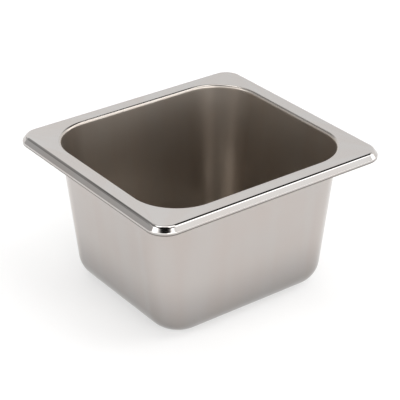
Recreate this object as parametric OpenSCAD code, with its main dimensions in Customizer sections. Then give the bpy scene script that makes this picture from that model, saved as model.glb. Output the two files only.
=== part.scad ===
// Deli food pan, one sixth size, 100 mm deep.
// One sheet of stainless steel drawn into a tapered pan with a flat flange and a folded lip.
// Origin at the centre of the flat base, +Z up, X along the longer side. Millimetres.

/* [Size] */
// Length over the lip, along X
rim_length = 176; // [140:1:330]
// Width over the lip, along Y
rim_width = 163; // [130:1:330]
// Height from the base to the top of the flange
pan_height = 100; // [65:5:200]
// Thickness of the sheet
sheet = 0.8; // [0.6:0.1:0.9]

/* [Opening and walls] */
// Width from the lip's outer edge to where the flange starts to bend down
flange_width = 11.5; // [8:0.5:20]
// Plan radius of the opening's corners at the start of that bend
opening_radius = 32.6; // [29:0.1:60]
// Radius of the bend from the flange into the wall, on the upper side
shoulder_bend = 2; // [1.2:0.1:4]
// Distance in plan from the start of that bend to the edge of the flat base
wall_inset = 27; // [19:0.5:32]
// Radius of the bend from the wall into the base, on the outside
base_bend = 17; // [8:0.5:22]

/* [Lip] */
// Plan radius of the lip's outer corners
lip_corner_radius = 13.5; // [8:0.5:24]
// Outside radius of the first bend, from the flange down into the slope
lip_bend = 2.4; // [1:0.1:3]
// Length of the sloping band
lip_slope = 2.8; // [1:0.1:6]
// Outside radius of the second bend, from the slope into the upright band
lip_turn = 1; // [1:0.1:3]
// Height of the upright band
lip_drop = 0.9; // [0.3:0.1:4]
// Outside radius of the quarter curl under the upright band
lip_curl = 1; // [1:0.1:2]

/* [Hidden] */
$fn = 96;

// Overlap of a rounding circle with the flats it joins, so that each flat ends on the circle
blend = 0.0005;
// How far a cutting shape runs past the face it cuts
past = 0.3;

// Distances between the corner centres of the walls, and of the lip
wall_x = rim_length - 2 * (flange_width + opening_radius);
wall_y = rim_width - 2 * (flange_width + opening_radius);
lip_x = rim_length - 2 * lip_corner_radius;
lip_y = rim_width - 2 * lip_corner_radius;

// Wall section: X is measured out from the corner centre, Y is the height
base_radius = opening_radius - wall_inset;
shoulder_centre = [opening_radius, pan_height - shoulder_bend];
base_centre = [base_radius, base_bend];
between = shoulder_centre - base_centre;
wall_taper = acos((base_bend - sheet + shoulder_bend) / norm(between))
    - atan2(between[1], between[0]);
outward = [cos(wall_taper), -sin(wall_taper)];

// Lip section: the slope falls four for every three it runs out
slope = [0.6, -0.8];
slope_normal = [0.8, 0.6];
half = sheet / 2;
lip_out = lip_bend * slope_normal[0] + lip_slope * slope[0] + lip_turn * (1 - slope_normal[0]);
flat_radius = lip_corner_radius - lip_out;
bend_centre = [flat_radius, pan_height - lip_bend];
slope_start = bend_centre + (lip_bend - half) * slope_normal;
slope_end = slope_start + lip_slope * slope;
turn_centre = slope_end - (lip_turn - half) * slope_normal;
curl_centre = turn_centre + [lip_turn - lip_curl, -lip_drop];

// Distance out of one face of the wall at height y, where d is that face's base bend radius
function wall_at(d, y) = base_centre[0]
    + (d + (y - base_centre[1]) * sin(wall_taper)) / cos(wall_taper);

// What is left of a corner outside its rounding circle
module corner(points, centre, radius) {
    difference() {
        polygon(points);
        translate(centre) circle(r = radius + blend);
    }
}

// Everything inside one face of the wall: d is the face's offset from the sheet's outer face
module inside(d, top) {
    base_r = base_bend - d;
    shoulder_r = shoulder_bend - sheet + d;
    shoulder_y = pan_height - sheet + d;
    difference() {
        polygon([[0, d], [wall_at(base_r, d), d], [wall_at(base_r, top), top], [0, top]]);
        corner([
            base_centre,
            base_centre - [0, base_r + past],
            [wall_at(base_r, d) + 2 * past, d - past],
            base_centre + (base_r + past) * outward
        ], base_centre, base_r);
    }
    corner([
        shoulder_centre,
        shoulder_centre + [0, shoulder_r + past],
        [wall_at(base_r, shoulder_y) - past, shoulder_y + past],
        shoulder_centre - (shoulder_r + past) * outward
    ], shoulder_centre, shoulder_r);
}

// Section of the wall with both of its bends
module wall_section() {
    difference() {
        union() {
            inside(0, pan_height);
            translate([0, pan_height - sheet]) square([opening_radius, sheet]);
        }
        inside(sheet, pan_height + 1);
        translate([-1, -1]) square([base_radius + 1, pan_height + 2]);
    }
}

// Part of a ring between two directions that are at most a quarter turn apart
module ring_part(centre, middle_radius, from, to) {
    reach = 4 * middle_radius;
    translate(centre) intersection() {
        difference() {
            circle(r = middle_radius + half);
            circle(r = middle_radius - half);
        }
        polygon([[0, 0], reach * from, reach * (from + to), reach * to]);
    }
}

// Section of the lip, from the edge of the flange to the curl along its foot
module lip_section() {
    ring_part(bend_centre, lip_bend - half, slope_normal, [0, 1]);
    polygon([
        slope_start - half * slope_normal,
        slope_start + half * slope_normal,
        slope_end + half * slope_normal,
        slope_end - half * slope_normal
    ]);
    ring_part(turn_centre, lip_turn - half, slope_normal, [1, 0]);
    translate(turn_centre + [lip_turn - sheet, -lip_drop]) square([sheet, lip_drop]);
    ring_part(curl_centre, lip_curl - half, [1, 0], [0, -1]);
}

// Carries a section round a rectangle with its corner centres x and y apart
module carry_round(x, y) {
    for (side = [0 : 3]) {
        across = side % 2 == 0 ? x / 2 : y / 2;
        along = side % 2 == 0 ? y / 2 : x / 2;
        rotate([0, 0, 90 * side]) translate([across, along, 0]) {
            rotate_extrude(angle = 90) children();
            rotate([90, 0, 0]) linear_extrude(height = 2 * along) children();
        }
    }
}

// Outline with its corner centres x and y apart
module rounded(x, y, radius) {
    square([x + 2 * radius, y], center = true);
    square([x, y + 2 * radius], center = true);
    for (sx = [-1, 1], sy = [-1, 1]) {
        translate([sx * x / 2, sy * y / 2]) circle(r = radius);
    }
}

// The whole pan: base, walls, flange and lip are one sheet
module pan() {
    color([0.78, 0.77, 0.75]) union() {
        linear_extrude(height = sheet) rounded(wall_x, wall_y, base_radius);
        carry_round(wall_x, wall_y) wall_section();
        translate([0, 0, pan_height - sheet]) linear_extrude(height = sheet) difference() {
            rounded(lip_x, lip_y, flat_radius);
            rounded(wall_x, wall_y, opening_radius);
        }
        carry_round(lip_x, lip_y) lip_section();
    }
}

pan();
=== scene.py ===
"""Deli food pan of one sixth gastronorm size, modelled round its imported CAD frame."""
import math

import bmesh
import bpy
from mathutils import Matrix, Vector


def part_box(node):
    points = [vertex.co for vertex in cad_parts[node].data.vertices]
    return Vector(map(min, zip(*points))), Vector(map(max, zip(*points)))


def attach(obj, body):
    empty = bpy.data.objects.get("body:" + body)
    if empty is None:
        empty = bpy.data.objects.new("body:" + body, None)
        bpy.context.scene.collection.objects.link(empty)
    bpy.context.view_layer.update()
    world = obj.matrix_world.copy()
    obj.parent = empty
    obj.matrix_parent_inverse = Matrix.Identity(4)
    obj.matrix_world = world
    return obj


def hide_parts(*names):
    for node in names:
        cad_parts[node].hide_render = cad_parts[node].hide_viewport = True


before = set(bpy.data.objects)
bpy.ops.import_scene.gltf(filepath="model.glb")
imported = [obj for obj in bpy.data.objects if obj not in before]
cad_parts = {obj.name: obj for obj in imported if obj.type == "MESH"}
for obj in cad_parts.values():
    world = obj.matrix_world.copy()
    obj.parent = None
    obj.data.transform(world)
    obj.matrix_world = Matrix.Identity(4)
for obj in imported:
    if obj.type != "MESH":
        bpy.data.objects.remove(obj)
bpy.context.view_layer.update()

MM = 0.001
LOW, HIGH = (Vector(p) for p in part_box("pan"))
CENTRE = (LOW + HIGH) / 2
HEIGHT = HIGH.z - LOW.z
LENGTH = HIGH.x - LOW.x
WIDTH = HIGH.y - LOW.y

# ---------------------------------------------------------------- sizes, as in the CAD

SHEET = 0.8 * MM
FLANGE_WIDTH = 11.5 * MM
OPENING_RADIUS = 32.6 * MM
SHOULDER_BEND = 2.0 * MM
WALL_INSET = 27.0 * MM
BASE_BEND = 17.0 * MM
LIP_CORNER = 13.5 * MM
LIP_BEND = 2.4 * MM
LIP_SLOPE = 2.8 * MM
LIP_TURN = 1.0 * MM
LIP_DROP = 0.9 * MM
LIP_CURL = 1.0 * MM

# half distances between the corner centres of the walls and of the lip
WALL_SPAN = (
    LENGTH / 2 - FLANGE_WIDTH - OPENING_RADIUS,
    WIDTH / 2 - FLANGE_WIDTH - OPENING_RADIUS,
)
LIP_SPAN = (LENGTH / 2 - LIP_CORNER, WIDTH / 2 - LIP_CORNER)

# quads round the pan, in each corner and along each side
CORNER_STEPS = 32
SIDE_STEPS = 18

# quads down the section, in each bend and each straight; an eased straight has two more
BASE_BEND_STEPS = 28
WALL_STEPS = 26
SHOULDER_STEPS = 14
LIP_BEND_STEPS = 14
LIP_SLOPE_STEPS = 5
LIP_TURN_STEPS = 8
LIP_DROP_STEPS = 2
LIP_CURL_STEPS = 8
CUT_STEPS = 8

# how close to a bend the first point of a straight lies
WALL_EASE = 1.2 * MM
LIP_EASE = 0.25 * MM
LARGEST_EASE = 0.2  # of the straight's length

# rings across the flange, as fractions of its width, and on the base, as fractions of its outline
FLANGE_FRACTIONS = (0.02, 0.08, 0.2, 0.35, 0.5, 0.65, 0.8, 0.92, 0.98)
BASE_RINGS = (0.97, 0.9, 0.8, 0.7, 0.6, 0.5, 0.4, 0.3, 0.2, 0.1)

# ---------------------------------------------------------------- the pan's section


def arc(centre, radius, start, stop, steps):
    """Points of an arc in the section, from one direction in degrees to another, both ends kept."""
    out = []
    for i in range(steps + 1):
        a = math.radians(start + (stop - start) * i / steps)
        out.append((centre[0] + radius * math.cos(a), centre[1] + radius * math.sin(a)))
    return out


def part_way(a, b, t):
    """The point of the section that lies a fraction t of the way from a to b."""
    return (a[0] + (b[0] - a[0]) * t, a[1] + (b[1] - a[1]) * t)


def run(a, b, steps):
    """Points inside a straight of the section, both ends left out."""
    return [part_way(a, b, i / steps) for i in range(1, steps)]


def eased(a, b, steps, ends):
    """As run, with a point close to each end, so that the bends' shading stays out of the flat."""
    t = min(LARGEST_EASE, ends / math.hypot(b[0] - a[0], b[1] - a[1]))
    near = part_way(a, b, t)
    far = part_way(b, a, t)
    return [near] + run(near, far, steps) + [far]


# centres of the wall's two bends, and the angle by which the straight between them leans
shoulder = (OPENING_RADIUS, HEIGHT - SHOULDER_BEND)
base = (OPENING_RADIUS - WALL_INSET, BASE_BEND)
across = (shoulder[0] - base[0], shoulder[1] - base[1])
TAPER = math.degrees(
    math.acos((BASE_BEND - SHEET + SHOULDER_BEND) / math.hypot(*across))
    - math.atan2(across[1], across[0])
)

# the lip's slope faces this far above level
SLOPE_NORMAL = math.degrees(math.atan2(3, 4))
slope_cos = math.cos(math.radians(SLOPE_NORMAL))
slope_sin = math.sin(math.radians(SLOPE_NORMAL))

# centres of the lip's three bends
lip_out = LIP_BEND * slope_cos + LIP_SLOPE * slope_sin + LIP_TURN * (1 - slope_cos)
bend = (LIP_CORNER - lip_out, HEIGHT - LIP_BEND)
turn_start = (
    bend[0] + LIP_BEND * slope_cos + LIP_SLOPE * slope_sin,
    bend[1] + LIP_BEND * slope_sin - LIP_SLOPE * slope_cos,
)
turn = (turn_start[0] - LIP_TURN * slope_cos, turn_start[1] - LIP_TURN * slope_sin)
curl = (turn[0] + LIP_TURN - LIP_CURL, turn[1] - LIP_DROP)

EDGE_ROUND = SHEET / 2  # the sheet's cut edge is tumbled to a full round
CURL_END = math.degrees(EDGE_ROUND / (LIP_CURL - EDGE_ROUND)) - 90  # where that round starts


def wall_face(inner):
    """One face of the wall from the base's flat to the flange's: [(x, z)], from the bottom up."""
    base_radius = BASE_BEND - (SHEET if inner else 0)
    top_radius = SHOULDER_BEND - (0 if inner else SHEET)
    lower = arc(base, base_radius, -90, -TAPER, BASE_BEND_STEPS)
    upper = arc(shoulder, top_radius, 180 - TAPER, 90, SHOULDER_STEPS)
    return lower + eased(lower[-1], upper[0], WALL_STEPS, WALL_EASE) + upper


def lip_face(outer):
    """One face of the lip from the flange's flat to the end of its curl."""
    inward = 0 if outer else SHEET
    first = arc(bend, LIP_BEND - inward, 90, SLOPE_NORMAL, LIP_BEND_STEPS)
    second = arc(turn, LIP_TURN - inward, SLOPE_NORMAL, 0, LIP_TURN_STEPS)
    third = arc(curl, LIP_CURL - inward, 0, CURL_END, LIP_CURL_STEPS)
    slope = eased(first[-1], second[0], LIP_SLOPE_STEPS, LIP_EASE)
    drop = run(second[-1], third[0], LIP_DROP_STEPS)
    return first + slope + second + drop + third


def lower_edge():
    """The sheet's cut edge, rounded, between the lip's two faces."""
    a = math.radians(CURL_END)
    r = LIP_CURL - EDGE_ROUND
    middle = (curl[0] + r * math.cos(a), curl[1] + r * math.sin(a))
    return arc(middle, EDGE_ROUND, CURL_END, CURL_END - 180, CUT_STEPS)[1:-1]


# ---------------------------------------------------------------- the pan's mesh


def loop(x, z, span):
    """Points of one ring round the pan: x out from the corner centres, which are span apart."""

    def corner(quarter, part):
        """The point that is part of the way round a corner, counted from +X to +Y."""
        sx = span[0] * (1 if quarter in (0, 3) else -1)
        sy = span[1] * (1 if quarter in (0, 1) else -1)
        a = math.radians(90 * (quarter + part))
        return Vector((sx + x * math.cos(a), sy + x * math.sin(a), z))

    points = []
    for quarter in range(4):
        points += [corner(quarter, i / CORNER_STEPS) for i in range(CORNER_STEPS + 1)]
        here = points[-1]
        there = corner((quarter + 1) % 4, 0)
        points += [here.lerp(there, i / SIDE_STEPS) for i in range(1, SIDE_STEPS)]
    return points


def swept(face, span):
    """A face of the section, carried round the pan as rings."""
    return [loop(x, z, span) for x, z in face]


def blend_loops(a, b, fractions):
    """Rings between two others, at fractions of the way."""
    return [[p.lerp(q, t) for p, q in zip(a, b)] for t in fractions]


def base_rings(outline):
    """Rings that fill the flat base, from its outline inwards."""
    middle = Vector((0, 0, outline[0].z))
    return [[middle.lerp(p, s) for p in outline] for s in BASE_RINGS]


def pan_rings():
    """All rings, from the middle of the inside, over the lip, to the middle of the underside.

    With them come the numbers of the rings that the mesh and the finish are measured from.
    """
    inner = swept(wall_face(True), WALL_SPAN)
    outer = swept(wall_face(False), WALL_SPAN)
    lip_top = swept(lip_face(True), LIP_SPAN)
    lip_under = swept(lip_face(False), LIP_SPAN)
    edge = swept(lower_edge(), LIP_SPAN)
    flange_top = blend_loops(inner[-1], lip_top[0], FLANGE_FRACTIONS)
    flange_under = blend_loops(lip_under[0], outer[-1], FLANGE_FRACTIONS)

    rings = base_rings(inner[0])[::-1] + inner + flange_top + lip_top + edge
    rings += lip_under[::-1] + flange_under + outer[::-1] + base_rings(outer[0])

    flange = len(BASE_RINGS) + len(inner) - 1
    cut = flange + len(FLANGE_FRACTIONS) + len(lip_top)
    marks = {
        "wall": len(BASE_RINGS) + len(inner) // 2,
        "flange": flange,
        "curl": cut - LIP_CURL_STEPS,
        "under": cut + len(edge),
        "foot": len(rings) - len(BASE_RINGS) - BASE_BEND_STEPS,
    }
    return rings, marks


def add_face(bm, layer, corners, places):
    """A smooth face whose corners lie at the given places along and down the sheet."""
    face = bm.faces.new(corners)
    face.smooth = True
    for corner, place in zip(face.loops, places):
        corner[layer].uv = place


def pan_mesh():
    """The sheet as one closed mesh, and how far down the section each of its landmarks lies."""
    rings, marks = pan_rings()
    count = len(rings[0])

    # distances round the pan are measured half way up the wall, so that streaks run straight down
    wall = rings[marks["wall"]]
    along = [0.0]
    for i in range(count):
        along.append(along[-1] + (wall[(i + 1) % count] - wall[i]).length)
    down = [0.0]
    for a, b in zip(rings, rings[1:]):
        down.append(down[-1] + (b[0] - a[0]).length)

    bm = bmesh.new()
    layer = bm.loops.layers.uv.new("run")
    middle = Vector((CENTRE.x, CENTRE.y, LOW.z))
    rows = [[bm.verts.new(p + middle) for p in ring] for ring in rings]
    for j in range(len(rows) - 1):
        for i in range(count):
            k = (i + 1) % count
            corners = (rows[j][i], rows[j][k], rows[j + 1][k], rows[j + 1][i])
            left, right = along[i], along[i + 1]
            top, bottom = down[j], down[j + 1]
            places = ((left, top), (right, top), (right, bottom), (left, bottom))
            add_face(bm, layer, corners, places)
    for row, distance in ((rows[0], down[0]), (rows[-1], down[-1])):
        hub = bm.verts.new((CENTRE.x, CENTRE.y, row[0].co.z))
        for i in range(count):
            corners = (row[i], row[(i + 1) % count], hub)
            add_face(bm, layer, corners, [(along[i], distance)] * 3)
    bmesh.ops.recalc_face_normals(bm, faces=bm.faces)
    mesh = bpy.data.meshes.new("pan_sheet")
    bm.to_mesh(mesh)
    bm.free()
    return mesh, {name: down[i] for name, i in marks.items()}


# ---------------------------------------------------------------- materials

WHITE = (1, 1, 1, 1)
WARM_STEEL = (0.494, 0.464, 0.443, 1)
COOL_STEEL = (0.498, 0.481, 0.467, 1)
TONE_RANGE = (0.38, 0.62)  # values of the noise that give the two steels

# each of these multiplies the steel's colour
INNER_TONE = (0.92, 0.878, 0.82, 1)  # the inside has gone slightly brown
OUTER_PAINTED_SHADE = (0.985, 0.955, 0.945, 1)  # painted shade and a painted warm cast: the outside's colour is a little darker and warmer than the flange's; it is also duller, by its roughness
CURL_PAINTED_SHADE = (0.4, 0.385, 0.37, 1)  # painted shade: the curl and cut edge under the lip are darkened
FOOT_PAINTED_SHADE = (0.53, 0.552, 0.56, 1)  # painted shade: the outside is darkened towards and round the base bend

# roughness of the inside, of the flange and lip, of the outside, and of the curl
SATIN = 0.32
POLISH = 0.06
OUTSIDE = 0.16
DULL = 0.4
UNEVEN = 0.3  # how far the roughness varies from place to place

# how far before and after its landmark, going down the sheet, each finish and each painted shade
# changes
INSIDE_FADE = (2.4 * MM, 0.4 * MM)
OUTSIDE_FADE = (0, 4 * MM)
CURL_FADE = (0.5 * MM, 0)
CUT_FADE = (0, 1 * MM)
FOOT_SHADE_FADE = (32 * MM, 22 * MM)

# noise cells per metre: streaks and bands are given round the pan and down it
STREAKS = (1400, 9, 1)
BANDS = (75, 3, 1)
CLOUDS = 30
GRAIN = 2400
STREAK_DEPTH = 0.01 * MM


class Nodes:
    """Short names for building a node tree."""

    def __init__(self, tree):
        self.tree = tree
        tree.nodes.clear()

    def feed(self, socket, value):
        """Link a socket to an output, or set it to a constant."""
        if hasattr(value, "is_linked"):
            self.tree.links.new(value, socket)
        else:
            socket.default_value = value

    def put(self, node, name, value):
        self.feed(node.inputs[name], value)

    def add(self, kind, **inputs):
        """A new node, its inputs given by name with _ for a space."""
        node = self.tree.nodes.new(kind)
        for key, value in inputs.items():
            self.put(node, key.replace("_", " "), value)
        return node

    def close(self, kind, shader):
        """The tree's output, fed by a shader."""
        self.put(self.add(kind), "Surface", shader.outputs[0])

    def math(self, op, a, b=0.0, c=0.0):
        node = self.add("ShaderNodeMath")
        node.operation = op
        for socket, value in zip(node.inputs, (a, b, c)):
            self.feed(socket, value)
        return node.outputs[0]

    def weighted(self, a, b, share):
        """The given share of a, and the rest of b."""
        return self.math("ADD", self.math("MULTIPLY", a, share), self.math("MULTIPLY", b, 1 - share))

    def step(self, value, low, high, start=0.0, stop=1.0):
        """A smooth change from start to stop, while the value goes from low to high."""
        node = self.add("ShaderNodeMapRange")
        node.interpolation_type = "SMOOTHSTEP"
        self.put(node, "Value", value)
        for name, v in zip(("From Min", "From Max", "To Min", "To Max"), (low, high, start, stop)):
            self.put(node, name, v)
        return node.outputs["Result"]

    def noise(self, vector, scale, detail=2.0, roughness=0.5):
        node = self.add("ShaderNodeTexNoise", Scale=scale, Detail=detail, Roughness=roughness)
        self.put(node, "Vector", vector)
        return node.outputs["Fac"]

    def stretched(self, vector, factors):
        node = self.add("ShaderNodeMapping", Scale=factors)
        self.put(node, "Vector", vector)
        return node.outputs["Vector"]

    def mix(self, fac, a, b):
        """One colour turned into another by a share."""
        node = self.add("ShaderNodeMix")
        node.data_type = "RGBA"
        for name, value in (("Factor", fac), ("A", a), ("B", b)):
            self.feed([s for s in node.inputs if s.name == name and s.enabled][0], value)
        return [s for s in node.outputs if s.enabled][0]

    def times(self, a, b):
        """One colour multiplied by another."""
        out = self.mix(1.0, a, b)
        out.node.blend_type = "MULTIPLY"
        return out


def material(name):
    mat = bpy.data.materials.new(name)
    mat.use_nodes = True
    return mat, Nodes(mat.node_tree)


def steel(landmarks):
    """Drawn stainless steel: satin inside, polished on the flange and lip, finely streaked outside,
    with painted shade on the outside, on the lip's curl and towards the base bend.
    """
    mat, n = material("satin_steel")
    coords = n.add("ShaderNodeTexCoord")
    run_uv = coords.outputs["UV"]
    place = coords.outputs["Object"]
    sep = n.add("ShaderNodeSeparateXYZ", Vector=run_uv)
    down = sep.outputs["Y"]

    def change(landmark, fade, start=0.0, stop=1.0):
        """From start to stop as the sheet passes a landmark."""
        at = landmarks[landmark]
        return n.step(down, at - fade[0], at + fade[1], start, stop)

    streak = n.noise(n.stretched(run_uv, STREAKS), 1.0, 3.0, 0.6)
    band = n.noise(n.stretched(run_uv, BANDS), 1.0, 2.0)
    cloud = n.noise(place, CLOUDS, 3.0)
    grain = n.noise(place, GRAIN, 2.0)

    inside = change("flange", INSIDE_FADE, 1.0, 0.0)
    # the outside: a rougher finish, and painted shade in its colour
    outside = change("under", OUTSIDE_FADE)
    # the curl and cut edge under the lip: painted shade in the colour, and a rougher finish
    edge = n.math("MULTIPLY", change("curl", CURL_FADE), change("under", CUT_FADE, 1.0, 0.0))
    # painted shade: this mask darkens the outside towards the base bend
    foot = change("foot", FOOT_SHADE_FADE)

    colour = n.mix(n.step(n.weighted(cloud, band, 0.4), *TONE_RANGE), WARM_STEEL, COOL_STEEL)
    tones = ((inside, INNER_TONE), (outside, OUTER_PAINTED_SHADE), (edge, CURL_PAINTED_SHADE), (foot, FOOT_PAINTED_SHADE))
    for share, tint in tones:
        colour = n.times(colour, n.mix(share, WHITE, tint))

    rough = n.math("MULTIPLY_ADD", inside, SATIN - POLISH, POLISH)
    rough = n.math("MULTIPLY_ADD", outside, OUTSIDE - POLISH, rough)
    rough = n.math("MULTIPLY_ADD", edge, DULL - POLISH, rough)
    uneven = n.math("MULTIPLY_ADD", n.weighted(cloud, streak, 0.5), UNEVEN, 1 - UNEVEN / 2)
    rough = n.math("MULTIPLY", rough, uneven)

    bump = n.add("ShaderNodeBump", Strength=0.02, Distance=STREAK_DEPTH)
    n.put(bump, "Height", n.weighted(streak, grain, 0.5))

    shader = n.add("ShaderNodeBsdfPrincipled", Metallic=1.0, Base_Color=colour, Roughness=rough)
    n.put(shader, "Normal", bump.outputs["Normal"])
    n.close("ShaderNodeOutputMaterial", shader)
    return mat


# ---------------------------------------------------------------- the pan

sheet_mesh, landmarks = pan_mesh()
pan = bpy.data.objects.new("pan_sheet", sheet_mesh)
bpy.context.scene.collection.objects.link(pan)
pan.data.materials.append(steel(landmarks))
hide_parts("pan")
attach(pan, "root")

# ---------------------------------------------------------------- studio

FLOOR_SIZE = 12.0
FLOOR_DROP = 0.2 * MM  # keeps the floor clear of the base
FLOOR_COLOUR = (0.56, 0.556, 0.552, 1)
FLOOR_GLOW = 0.46  # keeps the pan's shadow faint

# angles are in degrees, and the strengths are radiances as each panel's is
SWEEP = 1.18
SWEEP_TOP = 41
RING = 2.6
RING_FOOT = 62
CROWN = -1.2  # softens the ring straight above
CROWN_FOOT = 80
DARKEST = 0.01
POLE_GUARD = 1e-4  # keeps straight up from dividing by zero


def studio_floor():
    """A pale floor that glows a little."""
    mesh = bpy.data.meshes.new("studio_floor")
    h = FLOOR_SIZE / 2
    mesh.from_pydata([(-h, -h, 0), (h, -h, 0), (h, h, 0), (-h, h, 0)], [], [(0, 1, 2, 3)])
    floor = bpy.data.objects.new("studio_floor", mesh)
    floor.location = (CENTRE.x, CENTRE.y, LOW.z - FLOOR_DROP)
    bpy.context.scene.collection.objects.link(floor)
    mat, n = material("pale_floor")
    shader = n.add("ShaderNodeBsdfPrincipled", Roughness=0.9, Base_Color=FLOOR_COLOUR)
    n.put(shader, "Specular IOR Level", 0.0)
    n.put(shader, "Emission Color", WHITE)
    n.put(shader, "Emission Strength", FLOOR_GLOW)
    n.close("ShaderNodeOutputMaterial", shader)
    mesh.materials.append(mat)


def studio_dome():
    """A pale sweep all round, a darker gap above it, a bright ring overhead, and panels on them.

    A panel of negative radiance takes light away.
    """
    world = bpy.data.worlds.new("studio")
    bpy.context.scene.world = world
    world.use_nodes = True
    n = Nodes(world.node_tree)
    coords = n.add("ShaderNodeTexCoord")
    x, y, z = n.add("ShaderNodeSeparateXYZ", Vector=coords.outputs["Generated"]).outputs

    def towards(azimuth, half_width, soft):
        """1 within half_width degrees of a compass direction, measured from +X to +Y."""
        a = math.radians(azimuth)
        level_squared = n.math("SUBTRACT", 1.0, n.math("MULTIPLY", z, z))
        level = n.math("SQRT", n.math("MAXIMUM", level_squared, POLE_GUARD))
        reach = n.math("ADD", n.math("MULTIPLY", x, math.cos(a)), n.math("MULTIPLY", y, math.sin(a)))
        start = math.cos(math.radians(half_width + soft))
        stop = math.cos(math.radians(half_width - soft))
        return n.step(n.math("DIVIDE", reach, level), start, stop)

    def above(elevation, soft=1.5):
        """1 above an elevation in degrees."""
        start = math.sin(math.radians(elevation - soft))
        stop = math.sin(math.radians(elevation + soft))
        return n.step(z, start, stop)

    def panel(radiance, azimuth, half_width, low, high, soft, edge=2):
        """A patch of the dome from low to high, with soft sides, and edge for its top and foot."""
        rows = n.math("MULTIPLY", above(low, edge), n.math("SUBTRACT", 1.0, above(high, edge)))
        patch = n.math("MULTIPLY", rows, towards(azimuth, half_width, soft))
        return n.math("MULTIPLY", patch, radiance)

    lights = [
        n.math("MULTIPLY", n.math("SUBTRACT", 1.0, above(SWEEP_TOP)), SWEEP),
        panel(0.6, 228, 62, -2, SWEEP_TOP, 5),  # fill from the camera's side
        panel(2.4, 174, 12, 30, SWEEP_TOP, 5),  # its two ends, brighter high up
        panel(2.4, 266, 16, 30, SWEEP_TOP, 5),
        panel(1.5, 166, 8, 2, 24, 4),  # narrow strips, mirrored in the lip's front corner
        panel(2.2, 252, 9, 2, 28, 4),
        panel(1.6, 284, 8, 2, 26, 4),
        panel(0.25, 312, 14, 27, SWEEP_TOP, 6),
        panel(1.8, 306, 16, -2, 11, 6, 1.5),  # low light, mirrored in the turn under the lip's slope
        panel(1.7, 338, 10, 0, 38, 4),
        panel(-0.56, 129, 37, 10, 34, 4),  # the dim side
        panel(-0.35, 124, 12, 25, 35, 6, 3),
        panel(-0.75, 90, 27, 33.5, 41.5, 5),  # a dark strip above one end of it
        panel(0.28, 108, 50, SWEEP_TOP, RING_FOOT, 6),
        panel(0.75, 68, 14, 43, 54, 4),
        panel(-0.8, 38, 14, 34, SWEEP_TOP, 5),
        panel(-0.1, 46, 12, 8, 28, 6, 3),  # the far side of the flange reflects a little less
        panel(2.8, 322, 17, 38, 60, 5),  # key
        n.math("MULTIPLY", above(RING_FOOT, 2), RING),
        n.math("MULTIPLY", above(CROWN_FOOT, 3), CROWN),
        panel(-RING, 222, 50, 58, 83, 8),  # the ring is cut away on the camera's side
    ]
    total = lights[0]
    for light in lights[1:]:
        total = n.math("ADD", light, total)
    total = n.math("MAXIMUM", total, DARKEST)
    n.close("ShaderNodeOutputWorld", n.add("ShaderNodeBackground", Color=WHITE, Strength=total))


studio_floor()
studio_dome()

# ---------------------------------------------------------------- camera

AZIMUTH, ELEVATION = -36.6, 28.79
DISTANCE = 973 * MM
LENS = 134.1
LOOK_AT = Vector((CENTRE.x - 0.2 * MM, CENTRE.y - 1.9 * MM, HIGH.z - 42 * MM))


def camera():
    """The camera, on the line that the photo was taken along."""
    a, e = math.radians(AZIMUTH), math.radians(ELEVATION)
    back = Vector((math.sin(a) * math.cos(e), -math.cos(a) * math.cos(e), math.sin(e)))
    data = bpy.data.cameras.new("camera")
    data.lens = LENS
    data.sensor_width = 36.0
    data.clip_start = 0.01
    obj = bpy.data.objects.new("camera", data)
    obj.location = LOOK_AT + back * DISTANCE
    obj.rotation_euler = back.to_track_quat("Z", "Y").to_euler()
    bpy.context.scene.collection.objects.link(obj)
    bpy.context.scene.camera = obj


camera()

scene = bpy.context.scene
scene.view_settings.view_transform = "Standard"
scene.view_settings.look = "None"
scene.cycles.use_denoising = True
scene.cycles.max_bounces = 12
scene.cycles.glossy_bounces = 8
